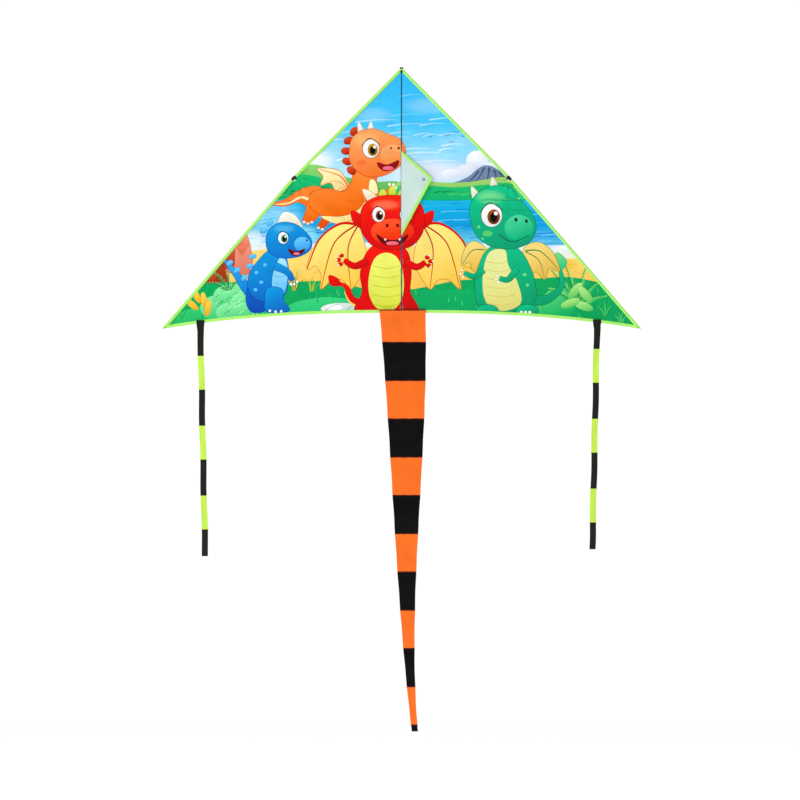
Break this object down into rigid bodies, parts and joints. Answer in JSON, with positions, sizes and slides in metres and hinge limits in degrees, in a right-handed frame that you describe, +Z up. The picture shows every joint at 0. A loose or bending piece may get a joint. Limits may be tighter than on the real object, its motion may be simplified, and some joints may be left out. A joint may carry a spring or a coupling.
{
  "type": "delta kite",
  "caption": "Children's delta kite with printed sail, folding keel flap, removable spreader, banded tail and two ribbon tails.",
  "frame": {"origin": "tip of the nose, on top of the nose patch, where the kite is held or hung", "axes": "+X to the right wing tip seen from the front, +Z up to the nose, front with the keel faces -Y"},
  "size_m": [1.006, 0.0118, 1.3915],
  "materials": {
    "printed_cloth": "thin printed polyester, satin",
    "lime_tape": "woven polyester edge tape, stitched",
    "lime_cloth": "thin polyester ribbon",
    "orange_cloth": "thin polyester ribbon",
    "black_cloth": "thin polyester ribbon",
    "keel_cloth": "thin translucent white polyester",
    "nose_webbing": "dark woven webbing",
    "fibreglass": "pultruded glass fibre rod",
    "black_plastic": "moulded vinyl",
    "eyelet_metal": "nickel plated, dull"
  },
  "bodies": {
    "frame": {"spine_sleeve": "lime_tape", "spine_rod": "fibreglass", "nose_patch": "nose_webbing", "main_tail_panel_1": "orange_cloth"},
    "wing_right": {"sail_right": "printed_cloth", "leading_sleeve_right": "lime_tape", "trailing_hem_right": "lime_tape", "upper_spar_right": "fibreglass", "lower_spar_right": "fibreglass", "spar_caps_right": "black_plastic", "spreader_fitting_right": "black_plastic", "ribbon_tab_right": "black_cloth"},
    "wing_left": {"sail_left": "printed_cloth", "leading_sleeve_left": "lime_tape", "trailing_hem_left": "lime_tape", "upper_spar_left": "fibreglass", "lower_spar_left": "fibreglass", "spar_caps_left": "black_plastic", "spreader_fitting_left": "black_plastic", "ribbon_tab_left": "black_cloth"},
    "spreader": {"spreader_rod": "fibreglass"},
    "keel": {"keel_panel": "keel_cloth", "keel_tape": "lime_tape", "keel_eyelet": "eyelet_metal"},
    "tail_2": {"main_tail_panel_2": "black_cloth"},
    "tail_3": {"main_tail_panel_3": "orange_cloth"},
    "tail_4": {"main_tail_panel_4": "black_cloth"},
    "tail_5": {"main_tail_panel_5": "orange_cloth"},
    "tail_6": {"main_tail_panel_6": "black_cloth"},
    "tail_7": {"main_tail_panel_7": "orange_cloth"},
    "tail_8": {"main_tail_panel_8": "black_cloth"},
    "tail_9": {"main_tail_panel_9": "orange_cloth"},
    "tail_10": {"main_tail_panel_10": "black_cloth"},
    "tail_11": {"main_tail_panel_11": "orange_cloth"},
    "tail_12": {"main_tail_panel_12": "black_cloth"},
    "ribbon_right_1": {"ribbon_right_panel_1": "black_cloth"},
    "ribbon_right_2": {"ribbon_right_panel_2": "lime_cloth"},
    "ribbon_right_3": {"ribbon_right_panel_3": "black_cloth"},
    "ribbon_right_4": {"ribbon_right_panel_4": "lime_cloth"},
    "ribbon_right_5": {"ribbon_right_panel_5": "black_cloth"},
    "ribbon_right_6": {"ribbon_right_panel_6": "lime_cloth"},
    "ribbon_right_7": {"ribbon_right_panel_7": "black_cloth"},
    "ribbon_left_1": {"ribbon_left_panel_1": "black_cloth"},
    "ribbon_left_2": {"ribbon_left_panel_2": "lime_cloth"},
    "ribbon_left_3": {"ribbon_left_panel_3": "black_cloth"},
    "ribbon_left_4": {"ribbon_left_panel_4": "lime_cloth"},
    "ribbon_left_5": {"ribbon_left_panel_5": "black_cloth"},
    "ribbon_left_6": {"ribbon_left_panel_6": "lime_cloth"},
    "ribbon_left_7": {"ribbon_left_panel_7": "black_cloth"}
  },
  "joints": [
    {"name": "wing_fold_right", "type": "hinge", "parent": "frame", "child": "wing_right", "pos_m": [0.0032, 0, -0.256], "axis": [0, 0, 1], "range_deg": [0, 70]},
    {"name": "wing_fold_left", "type": "hinge", "parent": "frame", "child": "wing_left", "pos_m": [-0.0032, 0, -0.256], "axis": [0, 0, 1], "range_deg": [-70, 0]},
    {"name": "spreader_out", "type": "slide", "parent": "frame", "child": "spreader", "axis": [0, 1, 0], "range_m": [0, 0.375]},
    {"name": "keel_flap", "type": "hinge", "parent": "frame", "child": "keel", "pos_m": [0, -0.0016, -0.263], "axis": [0, 0, -1], "range_deg": [0, 180]},
    {"name": "tail_seam_1", "type": "hinge", "parent": "frame", "child": "tail_2", "pos_m": [0, -0.00105, -0.5761], "axis": [1, 0, 0], "range_deg": [-8, 8]},
    {"name": "tail_seam_2", "type": "hinge", "parent": "tail_2", "child": "tail_3", "pos_m": [0, -0.00105, -0.6563], "axis": [1, 0, 0], "range_deg": [-8, 8]},
    {"name": "tail_seam_3", "type": "hinge", "parent": "tail_3", "child": "tail_4", "pos_m": [0, -0.00105, -0.7365], "axis": [1, 0, 0], "range_deg": [-8, 8]},
    {"name": "tail_seam_4", "type": "hinge", "parent": "tail_4", "child": "tail_5", "pos_m": [0, -0.00105, -0.8167], "axis": [1, 0, 0], "range_deg": [-8, 8]},
    {"name": "tail_seam_5", "type": "hinge", "parent": "tail_5", "child": "tail_6", "pos_m": [0, -0.00105, -0.8969], "axis": [1, 0, 0], "range_deg": [-8, 8]},
    {"name": "tail_seam_6", "type": "hinge", "parent": "tail_6", "child": "tail_7", "pos_m": [0, -0.00105, -0.9771], "axis": [1, 0, 0], "range_deg": [-8, 8]},
    {"name": "tail_seam_7", "type": "hinge", "parent": "tail_7", "child": "tail_8", "pos_m": [0, -0.00105, -1.0573], "axis": [1, 0, 0], "range_deg": [-8, 8]},
    {"name": "tail_seam_8", "type": "hinge", "parent": "tail_8", "child": "tail_9", "pos_m": [0, -0.00105, -1.1375], "axis": [1, 0, 0], "range_deg": [-8, 8]},
    {"name": "tail_seam_9", "type": "hinge", "parent": "tail_9", "child": "tail_10", "pos_m": [0, -0.00105, -1.2177], "axis": [1, 0, 0], "range_deg": [-8, 8]},
    {"name": "tail_seam_10", "type": "hinge", "parent": "tail_10", "child": "tail_11", "pos_m": [0, -0.00105, -1.2979], "axis": [1, 0, 0], "range_deg": [-8, 8]},
    {"name": "tail_seam_11", "type": "hinge", "parent": "tail_11", "child": "tail_12", "pos_m": [0, -0.00105, -1.3781], "axis": [1, 0, 0], "range_deg": [-8, 8]},
    {"name": "ribbon_right_seam_1", "type": "hinge", "parent": "wing_right", "child": "ribbon_right_1", "pos_m": [0.41, -0.00075, -0.5357], "axis": [1, 0, 0], "range_deg": [-9, 4]},
    {"name": "ribbon_right_seam_2", "type": "hinge", "parent": "ribbon_right_1", "child": "ribbon_right_2", "pos_m": [0.41, -0.00075, -0.5887], "axis": [1, 0, 0], "range_deg": [-9, 4]},
    {"name": "ribbon_right_seam_3", "type": "hinge", "parent": "ribbon_right_2", "child": "ribbon_right_3", "pos_m": [0.41, -0.00075, -0.6619], "axis": [1, 0, 0], "range_deg": [-9, 4]},
    {"name": "ribbon_right_seam_4", "type": "hinge", "parent": "ribbon_right_3", "child": "ribbon_right_4", "pos_m": [0.41, -0.00075, -0.7351], "axis": [1, 0, 0], "range_deg": [-9, 4]},
    {"name": "ribbon_right_seam_5", "type": "hinge", "parent": "ribbon_right_4", "child": "ribbon_right_5", "pos_m": [0.41, -0.00075, -0.8083], "axis": [1, 0, 0], "range_deg": [-9, 4]},
    {"name": "ribbon_right_seam_6", "type": "hinge", "parent": "ribbon_right_5", "child": "ribbon_right_6", "pos_m": [0.41, -0.00075, -0.8815], "axis": [1, 0, 0], "range_deg": [-9, 4]},
    {"name": "ribbon_right_seam_7", "type": "hinge", "parent": "ribbon_right_6", "child": "ribbon_right_7", "pos_m": [0.41, -0.00075, -0.9547], "axis": [1, 0, 0], "range_deg": [-9, 4]},
    {"name": "ribbon_left_seam_1", "type": "hinge", "parent": "wing_left", "child": "ribbon_left_1", "pos_m": [-0.4215, -0.00075, -0.53721], "axis": [1, 0, 0], "range_deg": [-9, 4]},
    {"name": "ribbon_left_seam_2", "type": "hinge", "parent": "ribbon_left_1", "child": "ribbon_left_2", "pos_m": [-0.4215, -0.00075, -0.60321], "axis": [1, 0, 0], "range_deg": [-9, 4]},
    {"name": "ribbon_left_seam_3", "type": "hinge", "parent": "ribbon_left_2", "child": "ribbon_left_3", "pos_m": [-0.4215, -0.00075, -0.67641], "axis": [1, 0, 0], "range_deg": [-9, 4]},
    {"name": "ribbon_left_seam_4", "type": "hinge", "parent": "ribbon_left_3", "child": "ribbon_left_4", "pos_m": [-0.4215, -0.00075, -0.74961], "axis": [1, 0, 0], "range_deg": [-9, 4]},
    {"name": "ribbon_left_seam_5", "type": "hinge", "parent": "ribbon_left_4", "child": "ribbon_left_5", "pos_m": [-0.4215, -0.00075, -0.82281], "axis": [1, 0, 0], "range_deg": [-9, 4]},
    {"name": "ribbon_left_seam_6", "type": "hinge", "parent": "ribbon_left_5", "child": "ribbon_left_6", "pos_m": [-0.4215, -0.00075, -0.89601], "axis": [1, 0, 0], "range_deg": [-9, 4]},
    {"name": "ribbon_left_seam_7", "type": "hinge", "parent": "ribbon_left_6", "child": "ribbon_left_7", "pos_m": [-0.4215, -0.00075, -0.96921], "axis": [1, 0, 0], "range_deg": [-9, 4]}
  ],
  "couplings": [
    {"joint": "wing_fold_left", "follows": "wing_fold_right", "ratio": -1},
    {"joint": "spreader_out", "follows": "wing_fold_right", "m_per_rad": 0.3},
    {"joint": "tail_seam_2", "follows": "tail_seam_1", "ratio": 1},
    {"joint": "tail_seam_3", "follows": "tail_seam_1", "ratio": 1},
    {"joint": "tail_seam_4", "follows": "tail_seam_1", "ratio": 1},
    {"joint": "tail_seam_5", "follows": "tail_seam_1", "ratio": 1},
    {"joint": "tail_seam_6", "follows": "tail_seam_1", "ratio": 1},
    {"joint": "tail_seam_7", "follows": "tail_seam_1", "ratio": 1},
    {"joint": "tail_seam_8", "follows": "tail_seam_1", "ratio": 1},
    {"joint": "tail_seam_9", "follows": "tail_seam_1", "ratio": 1},
    {"joint": "tail_seam_10", "follows": "tail_seam_1", "ratio": 1},
    {"joint": "tail_seam_11", "follows": "tail_seam_1", "ratio": 1},
    {"joint": "ribbon_right_seam_2", "follows": "ribbon_right_seam_1", "ratio": 1},
    {"joint": "ribbon_right_seam_3", "follows": "ribbon_right_seam_1", "ratio": 1},
    {"joint": "ribbon_right_seam_4", "follows": "ribbon_right_seam_1", "ratio": 1},
    {"joint": "ribbon_right_seam_5", "follows": "ribbon_right_seam_1", "ratio": 1},
    {"joint": "ribbon_right_seam_6", "follows": "ribbon_right_seam_1", "ratio": 1},
    {"joint": "ribbon_right_seam_7", "follows": "ribbon_right_seam_1", "ratio": 1},
    {"joint": "ribbon_left_seam_2", "follows": "ribbon_left_seam_1", "ratio": 1},
    {"joint": "ribbon_left_seam_3", "follows": "ribbon_left_seam_1", "ratio": 1},
    {"joint": "ribbon_left_seam_4", "follows": "ribbon_left_seam_1", "ratio": 1},
    {"joint": "ribbon_left_seam_5", "follows": "ribbon_left_seam_1", "ratio": 1},
    {"joint": "ribbon_left_seam_6", "follows": "ribbon_left_seam_1", "ratio": 1},
    {"joint": "ribbon_left_seam_7", "follows": "ribbon_left_seam_1", "ratio": 1}
  ]
}
